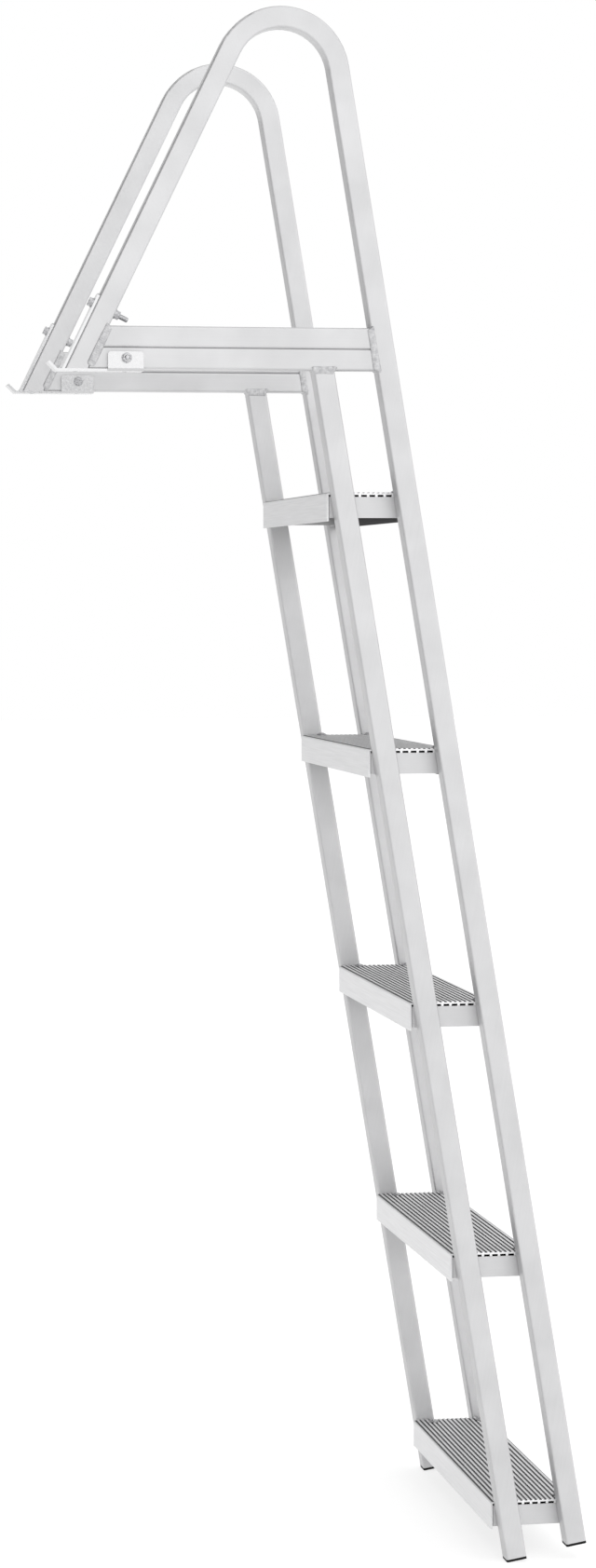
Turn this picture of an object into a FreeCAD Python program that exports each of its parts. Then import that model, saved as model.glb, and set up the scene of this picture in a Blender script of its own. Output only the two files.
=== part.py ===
# Boat boarding ladder that bolts to a fixed dock: two welded side frames of square
# aluminium tube, five extruded treads and two stainless deck brackets.
#
# Millimetres and degrees.  +Z is up, +Y points inland over the dock, -Y over the water,
# and X runs across the ladder, which is mirror-symmetric about X = 0.  The origin is on
# the deck, under the bracket plates, at the centre of the four deck-screw holes.
import FreeCAD
import Part
import math
import os

import Sketcher

PARTS_FOLDER = "parts"
TREADS = 5
SIDES = (("left", -1), ("right", 1))

# ---------------------------------------------------------------------------
# Driving dimensions
# ---------------------------------------------------------------------------
SIZES = {
    # side frames
    "tube_side": 25.0,        # outside of the square tube
    "tube_wall": 2.0,
    "tube_corner": 2.5,       # outside corner radius of the tube
    "tube_bore_corner": 1.0,
    "clear_width": 457.0,     # between the inner faces of the two side frames
    "lean": 9.3,              # rails, from the vertical
    "incline": 26.1,          # handrail's inland leg, from the vertical
    "bend_radius": 68.0,      # centre line of the hoop
    "inner_reach": 294.0,     # toe to the inland face of the inner rail, along the deck
    "inner_tail": 67.5,       # last tread's top to the end of the inner rail
    "outer_tail": 52.0,       # last tread's top to the end of the outer rail
    # treads
    "first_drop": 142.5,      # underside of the bars to the first tread's top
    "tread_pitch": 305.0,
    "tread_depth": 100.0,
    "tread_height": 34.5,
    "tread_overhang": 3.0,    # tread nose, inland of the inner rail
    "rail_overlap": 20.3,     # tread's water-side edge, past the outer rail's inland face
    "plate_thick": 2.0,
    "skirt_thick": 2.2,
    "nose_radius": 2.0,
    "grip_height": 1.0,       # ribs on top
    "grip_width": 3.0,
    "grip_pitch": 6.0,
    "under_height": 2.5,      # ribs below, which rest on the bearers
    "under_width": 3.0,
    "under_pitch": 10.0,
    "bearer_side": 25.0,      # equal angle under each end of a tread
    "bearer_thick": 3.0,
    "bearer_root": 2.5,       # fillet between the angle's legs
    "bolt_first": 24.0,       # tread nose to the first row of bolts
    "bolt_last": 13.0,        # second row of bolts to the tread's water-side edge
    "bolt_inset": 17.0,       # from the side frame
    "tread_gap": 0.5,         # between a tread's end and a side frame
    "bearer_gap": 0.5,        # between a bearer's end and a skirt
    "rib_bite": 0.2,          # how far a rib's root runs into the plate
    # fasteners, M6
    "thread_size": 6.0,
    "hole_slack": 0.3,        # on the radius, in plates and tubes
    "hex_size": 10.0,         # across flats
    "head_height": 4.0,
    "thread_chamfer": 0.75,
    "nut_height": 5.0,
    "washer_radius": 6.0,
    "washer_thick": 1.6,
    "dome_radius": 6.5,
    "dome_height": 3.4,
    "dome_rim": 0.68,         # straight side below the dome
    "tread_bolt_tail": 3.0,   # thread past the nut
    "toe_bolt_tail": 11.0,
    "ear_bolt_tail": 2.5,
    # deck brackets
    "sheet_thick": 3.0,
    "lip_start": 10.0,        # flat plate inland of the toe
    "lip_rise": 10.0,         # the lip turns up at 45 degrees
    "ear_start": 50.0,        # from the toe
    "ear_length": 42.0,
    "ear_height": 20.0,       # above the plate
    "ear_corner": 4.0,
    "ear_bend": 3.5,          # outside radius where an ear turns up
    "ear_gap": 0.3,           # between an ear and the bar
    "ear_hole": 22.0,         # from the ear's inland edge to its bolt
    "strap_end": 12.0,        # toe bolt to the strap's top
    "toe_bolt_rise": 14.44,   # bars' top to the toe bolt, at the leg's water-side face
    "deck_hole": 5.6,         # diameter, for a countersunk screw
    "deck_sink": 9.6,         # diameter of the countersink
    "deck_first": 13.0,       # toe to the first deck screw
    "deck_pitch": 58.0,       # along the plate
    # feet
    "foot_thick": 3.0,
    "foot_plug": 22.0,
    "foot_squeeze": 0.1,      # clearance between plug and tube
    "foot_core": 3.0,         # wall of the hollow plug
}

doc = FreeCAD.newDocument("boarding_ladder")
size_table = doc.addObject("Spreadsheet::Sheet", "Sizes")
for row, (alias, value) in enumerate(SIZES.items(), start=1):
    size_table.set("A%d" % row, alias)
    size_table.set("B%d" % row, str(value))
    size_table.setAlias("B%d" % row, alias)
doc.recompute()


class Dimension:
    """A size from the sheet: a formula for an object, and its value now for a layout."""

    def __init__(self, formula, value):
        self.formula = formula
        self.value = value

    def _join(self, other, sign, work):
        if not isinstance(other, Dimension):
            other = Dimension(repr(float(other)), float(other))
        formula = "(%s %s %s)" % (self.formula, sign, other.formula)
        return Dimension(formula, work(self.value, other.value))

    def __add__(self, other):
        return self._join(other, "+", lambda a, b: a + b)

    def __sub__(self, other):
        return self._join(other, "-", lambda a, b: a - b)

    def __mul__(self, other):
        return self._join(other, "*", lambda a, b: a * b)

    def __truediv__(self, other):
        return self._join(other, "/", lambda a, b: a / b)

    def __neg__(self):
        return Dimension("(0 - %s)" % self.formula, -self.value)

    def floor(self):
        return Dimension("floor(%s)" % self.formula, float(math.floor(self.value)))

    def sqrt(self):
        return Dimension("sqrt(%s)" % self.formula, math.sqrt(self.value))

    def sin(self):
        return Dimension("sin(%s)" % self.formula, math.sin(math.radians(self.value)))

    def cos(self):
        return Dimension("cos(%s)" % self.formula, math.cos(math.radians(self.value)))

    def tan(self):
        return Dimension("tan(%s)" % self.formula, math.tan(math.radians(self.value)))


def size(alias):
    return Dimension("Sizes.%s" % alias, SIZES[alias])


ZERO = Dimension("0", 0.0)

# ---------------------------------------------------------------------------
# Places worked out from the sizes
# ---------------------------------------------------------------------------
tube = size("tube_side")
wall = size("tube_wall")
lean = size("lean")
incline = size("incline")
sheet = size("sheet_thick")
half_tube = tube / 2
ACROSS = tube * 2                   # cuts right through a tube
side_x = size("clear_width") / 2 + half_tube

toe_y = size("deck_first") + size("deck_pitch") / 2
bar_z = sheet
inner_face_y = toe_y - size("inner_reach")
level_tube = tube / lean.cos()
inner_axis_y = inner_face_y - level_tube / 2
rail_spacing = size("tread_depth") - size("tread_overhang") - size("rail_overlap")
outer_axis_y = inner_axis_y - rail_spacing
toe_axis_y = toe_y - half_tube / incline.cos()

# The hoop's centre lies a bend radius inside both the inclined leg and the outer rail.
bend = size("bend_radius")
leg_offset = toe_axis_y * incline.cos() + bar_z * incline.sin() - bend
rail_offset = -(outer_axis_y * lean.cos()) + bar_z * lean.sin() - bend
whole_turn = incline + lean
hoop_y = (leg_offset * lean.sin() - rail_offset * incline.sin()) / whole_turn.sin()
hoop_z = (rail_offset * incline.cos() + leg_offset * lean.cos()) / whole_turn.sin()
leg_length = (hoop_z - bar_z) * incline.cos() - (hoop_y - toe_axis_y) * incline.sin()

last_tread_z = bar_z - size("first_drop") - size("tread_pitch") * (TREADS - 1)
foot = size("foot_thick")
inner_length = (bar_z - last_tread_z + size("inner_tail")) / lean.cos() - foot
outer_length = (hoop_z - last_tread_z + size("outer_tail")) / lean.cos() + bend * lean.tan() - foot


def tread_top(number):
    return bar_z - size("first_drop") - size("tread_pitch") * number


def tread_nose(number):
    """Inland face of the tread: proud of the inner rail at the level of its top."""
    return inner_face_y - (bar_z - tread_top(number)) * lean.tan() + size("tread_overhang")


# ---------------------------------------------------------------------------
# Small helpers
# ---------------------------------------------------------------------------
sub_parts = []


def new_body(label):
    body = doc.addObject("PartDesign::Body", label)
    body.Label = label
    sub_parts.append(body)
    return body


def place(body, x=ZERO, y=ZERO, z=ZERO, turn=None, axis=(1, 0, 0)):
    """Bind a sub-part's place to the sheet: a turn about one axis, then a shift."""
    angle = turn.value if turn else 0.0
    shift = FreeCAD.Vector(x.value, y.value, z.value)
    body.Placement = FreeCAD.Placement(shift, FreeCAD.Rotation(FreeCAD.Vector(*axis), angle))
    bound = [("Base.x", x), ("Base.y", y), ("Base.z", z)]
    if turn:
        bound.append(("Rotation.Angle", turn))
    for path, dimension in bound:
        if dimension is not ZERO:
            body.setExpression(".Placement." + path, dimension.formula)


def new_sketch(body, name, plane, offset=None):
    """Sketch on one of the body's own origin planes, or at an offset along its normal."""
    sketch = body.newObject("Sketcher::SketchObject", name)
    origin_plane = [item for item in body.Origin.OriginFeatures if item.Role == plane][0]
    sketch.AttachmentSupport = [(origin_plane, "")]
    sketch.MapMode = "FlatFace"
    if offset:
        sketch.AttachmentOffset = FreeCAD.Placement(
            FreeCAD.Vector(0, 0, offset.value), FreeCAD.Rotation()
        )
        sketch.setExpression(".AttachmentOffset.Base.z", offset.formula)
    return sketch


def bind_point(sketch, item, vertex, across, up):
    """Hold a sketch point at two signed distances from the sketch's origin."""
    for kind, dimension in (("DistanceX", across), ("DistanceY", up)):
        rule = sketch.addConstraint(Sketcher.Constraint(kind, -1, 1, item, vertex, dimension.value))
        if dimension is not ZERO:
            sketch.setExpression("Constraints[%d]" % rule, dimension.formula)


def add_outline(sketch, points):
    """Closed outline of straight lines through the points."""
    first = sketch.GeometryCount
    count = len(points)
    for number, point in enumerate(points):
        after = points[(number + 1) % count]
        start = FreeCAD.Vector(point[0].value, point[1].value, 0)
        end = FreeCAD.Vector(after[0].value, after[1].value, 0)
        sketch.addGeometry(Part.LineSegment(start, end), False)
    for number, point in enumerate(points):
        line = first + number
        before = first + (number - 1) % count
        sketch.addConstraint(Sketcher.Constraint("Coincident", before, 2, line, 1))
        bind_point(sketch, line, 1, *point)


def add_rectangle(sketch, low_across, low_up, high_across, high_up):
    corners = [
        (low_across, low_up),
        (high_across, low_up),
        (high_across, high_up),
        (low_across, high_up),
    ]
    add_outline(sketch, corners)


def add_circle(sketch, across, up, diameter):
    centre = FreeCAD.Vector(across.value, up.value, 0)
    circle = Part.Circle(centre, FreeCAD.Vector(0, 0, 1), diameter.value / 2)
    item = sketch.addGeometry(circle, False)
    bind_point(sketch, item, 3, across, up)
    rule = sketch.addConstraint(Sketcher.Constraint("Diameter", item, diameter.value))
    sketch.setExpression("Constraints[%d]" % rule, diameter.formula)


def add_rounded_square(sketch, side, corner):
    """Square about the sketch's origin, each corner an arc that its two sides run into."""
    half = side / 2
    straight = half - corner
    first = sketch.GeometryCount
    for number in range(4):
        turn = FreeCAD.Rotation(FreeCAD.Vector(0, 0, 1), 90 * number)
        low = turn.multVec(FreeCAD.Vector(half.value, -straight.value, 0))
        high = turn.multVec(FreeCAD.Vector(half.value, straight.value, 0))
        centre = turn.multVec(FreeCAD.Vector(straight.value, straight.value, 0))
        circle = Part.Circle(centre, FreeCAD.Vector(0, 0, 1), corner.value)
        angle = math.radians(90 * number)
        sketch.addGeometry(Part.LineSegment(low, high), False)
        sketch.addGeometry(Part.ArcOfCircle(circle, angle, angle + math.pi / 2), False)
    sides = [(half, -straight), (straight, half), (-half, straight), (-straight, -half)]
    ends = [(half, straight), (-straight, half), (-half, -straight), (straight, -half)]
    for number in range(4):
        line = first + 2 * number
        next_line = first + (2 * number + 2) % 8
        bind_point(sketch, line, 1, *sides[number])
        bind_point(sketch, line, 2, *ends[number])
        sketch.addConstraint(Sketcher.Constraint("Coincident", line, 2, line + 1, 1))
        sketch.addConstraint(Sketcher.Constraint("Coincident", line + 1, 2, next_line, 1))
        rule = sketch.addConstraint(Sketcher.Constraint("Radius", line + 1, corner.value))
        sketch.setExpression("Constraints[%d]" % rule, corner.formula)


def pad(body, name, sketch, length, side="One side", backwards=False):
    feature = body.newObject("PartDesign::Pad", name)
    feature.Profile = sketch
    feature.Length = length.value
    feature.setExpression("Length", length.formula)
    feature.SideType = side
    feature.Reversed = backwards
    return feature


def must_shrink(body, before, feature):
    doc.recompute()
    if not body.Shape.Volume < before - 1e-3:
        raise RuntimeError("%s in %s cuts nothing" % (feature.Name, body.Label))


def cut(body, name, sketch, length):
    """Pocket to both sides of its sketch, refused when it takes nothing away."""
    doc.recompute()
    before = body.Shape.Volume
    feature = body.newObject("PartDesign::Pocket", name)
    feature.Profile = sketch
    feature.Length = length.value
    feature.setExpression("Length", length.formula)
    feature.SideType = "Symmetric"
    must_shrink(body, before, feature)
    return feature


def drill(body, name, plane, centres, diameter, depth):
    """Round holes square to one of the body's planes, right through the body."""
    sketch = new_sketch(body, name + "Sketch", plane)
    for across, up in centres:
        add_circle(sketch, across, up, diameter)
    return cut(body, name, sketch, depth)


def round_edges(body, name, radius, wanted, kind="PartDesign::Fillet"):
    """Fillet or chamfer the edges of the body's tip that wanted(edge) picks."""
    doc.recompute()
    tip = body.Tip
    names = ["Edge%d" % (number + 1) for number, edge in enumerate(tip.Shape.Edges) if wanted(edge)]
    if not names:
        raise RuntimeError("%s in %s finds no edge" % (name, body.Label))
    feature = body.newObject(kind, name)
    feature.Base = (tip, names)
    bound = "Radius" if kind.endswith("Fillet") else "Size"
    setattr(feature, bound, radius.value)
    feature.setExpression(bound, radius.formula)
    return feature


def along(edge, axis):
    """True for a straight edge parallel to one axis: 0, 1 or 2."""
    if not isinstance(edge.Curve, Part.Line):
        return False
    return abs(abs(edge.Curve.Direction[axis]) - 1) < 1e-6


def near(one, other):
    return abs(one - other) < 1e-4


def origin_axis(body, role):
    return [item for item in body.Origin.OriginFeatures if item.Role == role][0]


def repeat(body, name, features, rows):
    """Linear pattern along one or two of the body's axes: (role, count, whole length)."""
    pattern = body.newObject("PartDesign::LinearPattern", name)
    pattern.Originals = features
    for number, (role, count, length) in zip(("", "2"), rows):
        setattr(pattern, "Direction" + number, (origin_axis(body, role), [""]))
        setattr(pattern, "Occurrences" + number, int(count.value))
        setattr(pattern, "Length" + number, length.value)
        pattern.setExpression("Occurrences" + number, count.formula)
        pattern.setExpression("Length" + number, length.formula)
    body.Tip = pattern
    doc.recompute()
    return pattern


# ---------------------------------------------------------------------------
# Square tube.  Its section lies on the body's XY plane and it runs along the body's Z.
# The body is then turned about X, so that its YZ plane is the plane of a side frame.
# ---------------------------------------------------------------------------
def mitre(body, name, at, slope, far):
    """Cut off the tube past the line z = at + y * slope, as far as z = far."""
    sketch = new_sketch(body, name + "Sketch", "YZ_Plane")
    rise = tube * slope
    add_outline(sketch, [(-tube, at - rise), (tube, at + rise), (tube, far), (-tube, far)])
    cut(body, name, sketch, ACROSS)


def frame_tube(label, length, start_slope, end_slope=None):
    """
    Tube with its axis from z = 0 to z = length.  A mitred end follows y times its slope;
    without an end slope the far end is cut square.
    """
    body = new_body(label)
    spare = tube * 2
    section = new_sketch(body, "Section", "XY_Plane", -spare)
    add_rounded_square(section, tube, size("tube_corner"))
    add_rounded_square(section, tube - wall * 2, size("tube_bore_corner"))
    pad(body, "Tube", section, length + spare + (spare if end_slope else ZERO))
    mitre(body, "StartMitre", ZERO, start_slope, -spare - tube)
    if end_slope:
        mitre(body, "EndMitre", length, end_slope, length + spare + tube)
    return body


thread = size("thread_size")
bolt_hole = thread + size("hole_slack") * 2
strap_hole = (tube * 2 + tube * incline.sin() + size("toe_bolt_rise")) / incline.cos()
ear_bolt_y = toe_y - size("ear_start") - size("ear_hole")
toe_corner_z = -(half_tube * incline.tan())
QUARTER = Dimension("90", 90.0)
rail_turn = Dimension("180", 180.0) - lean


def build_handrail(label, side):
    """Toe, inclined leg, hoop and outer rail, bent from one length of tube."""
    body = new_body(label)
    swing = Dimension("180", 180.0) - incline - lean
    start = -tube
    bend_end_y = bend * (swing.cos() - 1)
    bend_end_z = leg_length + bend * swing.sin()
    last_y = bend_end_y - outer_length * swing.sin()
    last_z = bend_end_z + outer_length * swing.cos()
    path = new_sketch(body, "Path", "YZ_Plane")
    corner = FreeCAD.Vector(0, leg_length.value, 0)
    bend_end = FreeCAD.Vector(bend_end_y.value, bend_end_z.value, 0)
    centre = FreeCAD.Vector(-bend.value, leg_length.value, 0)
    circle = Part.Circle(centre, FreeCAD.Vector(0, 0, 1), bend.value)
    path.addGeometry(Part.LineSegment(FreeCAD.Vector(0, start.value, 0), corner), False)
    path.addGeometry(Part.ArcOfCircle(circle, 0.0, math.radians(swing.value)), False)
    path.addGeometry(Part.LineSegment(bend_end, FreeCAD.Vector(last_y.value, last_z.value, 0)), False)
    path.addConstraint(Sketcher.Constraint("Coincident", 0, 2, 1, 1))
    path.addConstraint(Sketcher.Constraint("Tangent", 1, 2, 2, 1))
    bind_point(path, 0, 1, ZERO, start)
    bind_point(path, 0, 2, ZERO, leg_length)
    bind_point(path, 1, 3, -bend, leg_length)
    bind_point(path, 2, 2, last_y, last_z)
    outside = new_sketch(body, "Outside", "XY_Plane", start)
    add_rounded_square(outside, tube, size("tube_corner"))
    inside = new_sketch(body, "Inside", "XY_Plane", start)
    add_rounded_square(inside, tube - wall * 2, size("tube_bore_corner"))
    doc.recompute()
    bent = body.newObject("PartDesign::AdditivePipe", "Bent")
    bent.Profile = outside
    bent.Spine = path
    doc.recompute()
    solid = body.Shape.Volume
    bore = body.newObject("PartDesign::SubtractivePipe", "Bore")
    bore.Profile = inside
    bore.Spine = path
    must_shrink(body, solid, bore)
    mitre(body, "Toe", ZERO, -incline.tan(), start * 2)
    drill(body, "ToeBoltHole", "XZ_Plane", [(ZERO, strap_hole + toe_corner_z)], bolt_hole, ACROSS)
    place(body, side_x * side, toe_axis_y, bar_z, incline)


def build_rails_and_bars(name, side):
    """The inner rail and the two bars stacked on the deck plate's level."""
    rail = frame_tube(name + "_inner_rail", inner_length, start_slope=lean.tan())
    place(rail, side_x * side, inner_axis_y, bar_z, rail_turn)
    for bar_name, height in (("lower", half_tube), ("upper", tube + half_tube)):
        start_y = toe_axis_y - half_tube / incline.cos() - height * incline.tan()
        end_y = outer_axis_y + level_tube / 2 + height * lean.tan()
        bar = frame_tube(
            "%s_%s_bar" % (name, bar_name), start_y - end_y, incline.tan(), -lean.tan()
        )
        if bar_name == "lower":
            drill(bar, "EarBoltHole", "YZ_Plane", [(ZERO, start_y - ear_bolt_y)], bolt_hole, ACROSS)
        place(bar, side_x * side, start_y, bar_z + height, QUARTER)


def build_foot(label, side, axis_y, tail):
    """Rubber plug: a square flange under the rail's end and a hollow stem up inside it."""
    body = new_body(label)
    flange = new_sketch(body, "Flange", "XY_Plane")
    add_rounded_square(flange, tube, size("tube_corner"))
    pad(body, "FlangePad", flange, foot)
    stem_side = tube - wall * 2 - size("foot_squeeze") * 2
    stem_corner = size("tube_bore_corner")
    stem = new_sketch(body, "Stem", "XY_Plane")
    add_rounded_square(stem, stem_side, stem_corner)
    core_side = stem_side - size("foot_core") * 2
    add_rounded_square(stem, core_side, stem_corner)
    pad(body, "StemPad", stem, size("foot_plug"), backwards=True)
    run = (bar_z - last_tread_z + tail) / lean.cos() - foot
    place(body, side_x * side, axis_y - run * lean.sin(), bar_z - run * lean.cos(), rail_turn)


# ---------------------------------------------------------------------------
# Treads.  The body's origin is in the middle of the nose, level with the ribs' tops.
# ---------------------------------------------------------------------------
depth = size("tread_depth")
height = size("tread_height")
skirt = size("skirt_thick")
tread_length = size("clear_width") - size("tread_gap") * 2
plate_top = -size("grip_height")
plate_low = plate_top - size("plate_thick")
bearer_top = plate_low - size("under_height")
bearer = size("bearer_side")
bolt_x = size("clear_width") / 2 - size("bolt_inset")
bolt_low_y = -size("bolt_first")
bolt_spacing = depth - size("bolt_first") - size("bolt_last")
rib_bite = size("rib_bite")


def add_ribs(body, name, low, high, width, pitch, margin):
    """A row of straight ribs across the depth, as many as fit inside the margin."""
    count = ((depth - margin * 2 - width) / pitch).floor() + 1
    span = (count - 1) * pitch
    first = -(depth - span) / 2
    sketch = new_sketch(body, name + "Sketch", "YZ_Plane")
    add_rectangle(sketch, first - width / 2, low, first + width / 2, high)
    rib = pad(body, name, sketch, tread_length, "Symmetric")
    row = repeat(body, name + "Row", [rib], [("Y_Axis", count, span)])
    row.Reversed = True
    return row


def build_tread(number):
    body = new_body("tread_%d" % (number + 1))
    section = new_sketch(body, "Channel", "YZ_Plane")
    outline = [
        (ZERO, plate_top),
        (ZERO, -height),
        (-skirt, -height),
        (-skirt, plate_low),
        (skirt - depth, plate_low),
        (skirt - depth, -height),
        (-depth, -height),
        (-depth, plate_top),
    ]
    add_outline(section, outline)
    pad(body, "ChannelPad", section, tread_length, "Symmetric")
    top = plate_top.value
    outer = (0.0, -depth.value)

    def is_nose(edge):
        at = edge.CenterOfMass
        return along(edge, 0) and near(at.z, top) and (near(at.y, outer[0]) or near(at.y, outer[1]))

    round_edges(body, "Noses", size("nose_radius"), is_nose)
    grip_row = (size("grip_width"), size("grip_pitch"), size("nose_radius"))
    add_ribs(body, "Grip", plate_top - rib_bite, ZERO, *grip_row)
    under_row = (size("under_width"), size("under_pitch"), skirt + size("under_width"))
    add_ribs(body, "Under", bearer_top, plate_low + rib_bite, *under_row)
    far_y = bolt_low_y - bolt_spacing
    centres = [(x, y) for x in (-bolt_x, bolt_x) for y in (bolt_low_y, far_y)]
    drill(body, "BoltHoles", "XY_Plane", centres, bolt_hole, depth)
    place(body, ZERO, tread_nose(number), tread_top(number))


def build_bearer(name, side, number):
    """
    Angle welded level across the two rails' inner faces, under a tread's end.  One leg
    hangs against the rails, the other points under the tread.  The body's origin is on
    the outer corner and the angle runs along the body's Z.
    """
    body = new_body("%s_bearer_%d" % (name, number + 1))
    inset = skirt + size("bearer_gap")
    thick = size("bearer_thick")
    inward = Dimension("%d" % -side, float(-side))
    section = new_sketch(body, "Angle", "XY_Plane")
    outline = [
        (ZERO, ZERO),
        (bearer * inward, ZERO),
        (bearer * inward, -thick),
        (thick * inward, -thick),
        (thick * inward, -bearer),
        (ZERO, -bearer),
    ]
    add_outline(section, outline)
    pad(body, "AnglePad", section, depth - inset * 2)

    def is_root(edge):
        at = edge.CenterOfMass
        return along(edge, 2) and near(abs(at.x), thick.value) and near(at.y, -thick.value)

    round_edges(body, "Root", size("bearer_root"), is_root)
    bolt_line = size("bolt_inset") * inward
    first = -bolt_low_y - inset
    centres = [(bolt_line, first), (bolt_line, first + bolt_spacing)]
    drill(body, "BoltHoles", "XZ_Plane", centres, bolt_hole, thick * 4)
    corner_x = size("clear_width") / 2 * side
    place(body, corner_x, tread_nose(number) - inset, tread_top(number) + bearer_top, QUARTER)


# ---------------------------------------------------------------------------
# Fasteners.  Each is drawn on its own Z: the seat of the head is at z = 0, the shank
# runs down.  Groups of identical ones are a pattern of separate solids in one body.
# ---------------------------------------------------------------------------
washer = size("washer_thick")
nut_height = size("nut_height")
TWO = Dimension("2", 2.0)
HALF_FLAT = Dimension("30", 30.0)   # half the angle between a hexagon's corners
TURNED_TO = 0.475                   # radius left on the end face, over the size across flats
CLEAR_OF_CORNER = 0.7               # a radius outside the corners, over the same


def add_hexagon(sketch, across_flats):
    corner_radius = across_flats / 2 / HALF_FLAT.cos()
    points = []
    for number in range(6):
        angle = Dimension("%d" % (60 * number), 60.0 * number)
        points.append((corner_radius * angle.cos(), corner_radius * angle.sin()))
    add_outline(sketch, points)


def turn_corners(body, name, flats, level, way):
    """Take the hexagon's corners off at 30 degrees to the end face, as a lathe does."""
    out = flats * CLEAR_OF_CORNER
    start = flats * TURNED_TO
    drop = (out - start) * HALF_FLAT.tan() * way
    sketch = new_sketch(body, name + "Sketch", "XZ_Plane")
    add_outline(sketch, [(start, level), (out, level), (out, level - drop)])
    doc.recompute()
    before = body.Shape.Volume
    groove = body.newObject("PartDesign::Groove", name)
    groove.Profile = sketch
    groove.ReferenceAxis = (sketch, ["V_Axis"])
    groove.Angle = 360
    must_shrink(body, before, groove)
    return groove


def hex_bolt(label, under_head):
    body = new_body(label)
    head = new_sketch(body, "Head", "XY_Plane")
    add_hexagon(head, size("hex_size"))
    pad(body, "HeadPad", head, size("head_height"))
    turn_corners(body, "HeadTurned", size("hex_size"), size("head_height"), 1)
    shank = new_sketch(body, "Shank", "XY_Plane")
    add_circle(shank, ZERO, ZERO, thread)
    pad(body, "ShankPad", shank, under_head, backwards=True)
    chamfer_at = -under_head.value
    round_edges(
        body, "ThreadEnd", size("thread_chamfer"),
        lambda edge: isinstance(edge.Curve, Part.Circle) and near(edge.CenterOfMass.z, chamfer_at),
        "PartDesign::Chamfer",
    )
    return body


def hex_nut(label):
    """Nut that sits below z = 0, with the features that make it."""
    body = new_body(label)
    blank = new_sketch(body, "Blank", "XY_Plane")
    add_hexagon(blank, size("hex_size"))
    add_circle(blank, ZERO, ZERO, thread)
    block = pad(body, "BlankPad", blank, nut_height, backwards=True)
    turned = turn_corners(body, "LowerTurned", size("hex_size"), -nut_height, -1)
    return body, [block, turned]


def ring(label, radius, bore, thickness):
    """Washer that sits below z = 0."""
    body = new_body(label)
    sketch = new_sketch(body, "Ring", "XY_Plane")
    add_circle(sketch, ZERO, ZERO, radius * 2)
    add_circle(sketch, ZERO, ZERO, bore)
    pad(body, "RingPad", sketch, thickness, backwards=True)
    return body


def spread_to_corners(body, features):
    """Repeat a tread fastener at the tread's four bolt holes."""
    body.AllowCompound = True
    rows = [("X_Axis", TWO, bolt_x * 2), ("Y_Axis", TWO, bolt_spacing)]
    repeat(body, "FourPlaces", features, rows)


tread_bolt_length = size("bearer_thick") - bearer_top + washer + nut_height + size("tread_bolt_tail")


def build_tread_bolts(number):
    """Dome-headed bolts whose heads sit on the ribs."""
    body = new_body("tread_bolts_%d" % (number + 1))
    rim = size("dome_rim")
    rise = size("dome_height") - rim
    radius = size("dome_radius")
    half_thread = thread / 2
    crown = (radius * radius + rise * rise) / (rise * 2)
    profile = new_sketch(body, "Profile", "XZ_Plane")
    corners = [
        (ZERO, -tread_bolt_length),
        (half_thread, -tread_bolt_length),
        (half_thread, ZERO),
        (radius, ZERO),
        (radius, rim),
    ]
    for start, end in zip(corners, corners[1:]):
        low_end = FreeCAD.Vector(start[0].value, start[1].value, 0)
        high_end = FreeCAD.Vector(end[0].value, end[1].value, 0)
        profile.addGeometry(Part.LineSegment(low_end, high_end), False)
    top = FreeCAD.Vector(0, (rim + rise).value, 0)
    centre = rim + rise - crown
    circle = Part.Circle(FreeCAD.Vector(0, centre.value, 0), FreeCAD.Vector(0, 0, 1), crown.value)
    low = math.atan2((rim - centre).value, radius.value)
    profile.addGeometry(Part.ArcOfCircle(circle, low, math.pi / 2), False)
    profile.addGeometry(Part.LineSegment(top, FreeCAD.Vector(0, -tread_bolt_length.value, 0)), False)
    for line in range(5):
        profile.addConstraint(Sketcher.Constraint("Coincident", line, 2, line + 1, 1))
    profile.addConstraint(Sketcher.Constraint("Coincident", 5, 2, 0, 1))
    profile.addConstraint(Sketcher.Constraint("Vertical", 5))
    for line, corner in enumerate(corners):
        bind_point(profile, line, 1, *corner)
    bind_point(profile, 4, 3, ZERO, centre)
    turned = body.newObject("PartDesign::Revolution", "Turned")
    turned.Profile = profile
    turned.ReferenceAxis = (profile, ["V_Axis"])
    turned.Angle = 360
    spread_to_corners(body, [turned])
    place(body, -bolt_x, tread_nose(number) + bolt_low_y - bolt_spacing, tread_top(number))


def build_tread_nuts(number):
    """Washers and nuts under the bearers' level legs."""
    low = tread_top(number) + bearer_top - size("bearer_thick")
    far_y = tread_nose(number) + bolt_low_y - bolt_spacing
    washers = ring("tread_washers_%d" % (number + 1), size("washer_radius"), thread, washer)
    spread_to_corners(washers, [washers.Tip])
    place(washers, -bolt_x, far_y, low)
    nuts, features = hex_nut("tread_nuts_%d" % (number + 1))
    spread_to_corners(nuts, features)
    place(nuts, -bolt_x, far_y, low - washer)


# ---------------------------------------------------------------------------
# Deck brackets, bent from stainless sheet
# ---------------------------------------------------------------------------
ear_span = tube + (size("ear_gap") + sheet) * 2


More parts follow.
